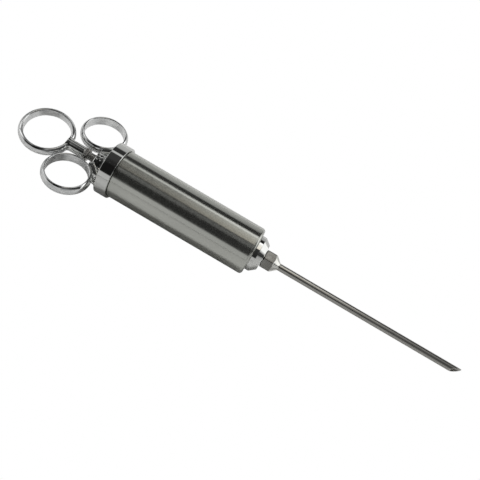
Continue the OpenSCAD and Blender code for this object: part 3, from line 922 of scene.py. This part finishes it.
# ---------------------------------------------------------------- studio
# What the metal mirrors, in zones from -X to +X. Each entry is (degrees round the main axis,
# brightness): 0 is straight up, positive towards -Y; a brightness is a grey or an RGB.
STUDIO = {
    "rear_end": [
        (-180, 1.0), (-96, 1.0), (-90, 0.12), (-50, 0.10), (-42, 1.3), (-6, 1.25), (2, 0.45),
        (10, 0.45), (17, 1.5), (33, 1.5), (38, 0.75), (45, 0.7), (52, 0.55), (66, 0.55),
        (75, 1.0), (180, 1.0)],
    "rear": [
        (-180, 0.9), (-140, 0.8), (-125, 0.16), (-62, 0.08), (-44, 0.06), (-40, 0.7), (-30, 0.7),
        (-26, 0.20), (-2, 0.28), (8, 0.06), (12, 0.08), (16, 0.60), (22, 0.55), (28, 0.25),
        (33, 0.04), (62, 0.03), (69, 0.55), (90, 0.66), (180, 0.9)],
    "middle": [
        (-180, 0.9), (-100, 0.7), (-60.5, 0.56), (-55.5, 0.045), (-33.5, 0.04), (-32, 0.75),
        (-24.5, 0.75), (-22.5, 0.06), (4, 0.055), (14, 0.03), (23, 0.03), (29, 0.012),
        (67.5, 0.012), (71.5, 0.66), (90, 0.68), (180, 0.9)],
    "fore": [
        (-180, 1.2), (-110, 0.75), (-63, 0.50), (-57.5, 0.012), (-37, 0.012), (-34, 2.3),
        (-24, 2.1), (-20, (1.9, 1.86, 1.76)), (0, (1.75, 1.66, 1.50)), (9.5, (1.62, 1.52, 1.36)),
        (13, 0.06), (30, 0.05), (66, 0.03), (71, 0.62), (90, 0.68), (180, 0.9)],
    "near_tip": [
        (-180, 1.2), (-110, 0.75), (-75, 0.4), (-66, 0.05), (-34, 0.04), (-31, 1.8), (-24, 1.6),
        (0, (1.0, 0.95, 0.86)), (9, (0.95, 0.88, 0.78)), (12.5, 0.25), (16, 0.70), (31, 0.70),
        (34, 0.045), (64, 0.045), (69, 0.60), (90, 0.70), (180, 0.9)],
    "tip": [
        (-180, 1.1), (-110, 0.6), (-75, 0.3), (-66, 0.04), (-34, 0.04), (-31, 0.45), (-24, 0.45),
        (0, 0.34), (9, 0.3), (13, 0.2), (33, 0.14), (64, 0.14), (69, 0.42), (90, 0.5),
        (180, 0.75)],
    "front_end": [
        (-180, 0.8), (-100, 0.6), (-92, 0.6), (-87, 1.5), (-38, 1.6), (-24, 0.8), (-16, 0.5),
        (-8, 0.07), (46, 0.04), (56, 0.2), (66, 0.35), (85, 0.6), (180, 0.7)],
}


def studio_world():
    """The zones, blended over the X part of the direction; plain white to the camera."""
    world = bpy.data.worlds.new("studio")
    scene.world = world
    t = empty_nodes(world)
    direction = t.split(t.node("ShaderNodeTexCoord").outputs["Generated"])
    x, y, z = (t.math("MULTIPLY", part, 1.0) for part in direction)
    angle = t.math("ARCTAN2", t.math("MULTIPLY", y, -1.0), z)
    turn = t.remap(angle, -PI, PI)
    zone = {}
    for name, stops in STUDIO.items():
        zone[name] = t.ramp(turn, [((degrees + 180) / 360, v if isinstance(v, tuple) else (v,) * 3)
                                   for degrees, v in stops])

    def towards_front(start, end, a, b):
        return t.mix(t.remap(x, start, end), a, b)

    def towards_rear(start, end, a, b):
        return t.mix(t.remap(x, start, end, 1, 0), a, b)

    near_tip = towards_front(0.14, 0.26, zone["near_tip"], zone["tip"])
    fore = towards_front(0.06, 0.12, zone["fore"], near_tip)
    light = towards_front(-0.09, 0.05, zone["middle"], fore)
    light = towards_rear(-0.335, -0.30, light, zone["rear"])
    light = towards_rear(-0.84, -0.66, light, zone["rear_end"])
    light = towards_front(0.40, 0.62, light, zone["front_end"])
    background = t.node("ShaderNodeBackground")
    camera_ray = t.node("ShaderNodeLightPath").outputs["Is Camera Ray"]
    t.link(t.mix(camera_ray, light, (1.0, 1.0, 1.0)), background.inputs["Color"])
    background.inputs["Strength"].default_value = 1.0
    output = t.node("ShaderNodeOutputWorld")
    t.link(background.outputs[0], output.inputs[0])


def strip_light():
    """Lamp for diffuse surfaces; reflections show the world instead."""
    light = bpy.data.lights.new("strip", "AREA")
    light.shape = "RECTANGLE"
    light.size, light.size_y = 1.2, 0.35
    light.energy = 11
    ob = bpy.data.objects.new("strip", light)
    ob.location = (0.05, 0.70, 1.15)
    ob.rotation_euler = Vector((0, -0.70, -1.15)).to_track_quat("-Z", "Y").to_euler()
    ob.visible_glossy = False
    scene.collection.objects.link(ob)


studio_world()
strip_light()

# ---------------------------------------------------------------- camera
AXIS_TILT = math.radians(1.0518)                # main axis out of the view plane
AXIS_SPIN = math.radians(40.9241)               # about the main axis
CAMERA_ROLL = math.radians(-30.3692)            # about the line of sight
# centre of the cap's rear face as the camera sees it before the roll: right, up, backward (mm)
CAP_IN_VIEW = np.array([-94.49604, -2.243216, -388.534393])


def make_camera():
    # world X, Y and Z as seen in camera space before the roll
    axis_x = np.array([math.cos(AXIS_TILT), 0, math.sin(AXIS_TILT)])
    upright = np.array([-math.sin(AXIS_TILT), 0, math.cos(AXIS_TILT)])
    axis_z = math.cos(AXIS_SPIN) * upright + math.sin(AXIS_SPIN) * np.array([0, 1.0, 0])
    unrolled = np.stack([axis_x, np.cross(axis_z, axis_x), axis_z], 1)
    location = np.array([CAP_REAR, 0, 0]) - unrolled.T @ CAP_IN_VIEW
    cosine, sine = math.cos(CAMERA_ROLL), math.sin(CAMERA_ROLL)
    world_to_camera = np.array([[cosine, -sine, 0], [sine, cosine, 0], [0, 0, 1]]) @ unrolled

    camera = bpy.data.cameras.new("camera")
    camera.sensor_width = 36
    camera.lens = 46.2585
    camera.clip_start, camera.clip_end = 0.01, 20
    ob = bpy.data.objects.new("camera", camera)
    matrix = Matrix(world_to_camera.T.tolist()).to_4x4()
    matrix.translation = Vector(location) * MM
    ob.matrix_world = matrix
    scene.collection.objects.link(ob)
    scene.camera = ob


make_camera()
scene.view_settings.view_transform = "Standard"
scene.view_settings.look = "None"
scene.view_settings.exposure = 0.0
scene.view_settings.gamma = 1.0
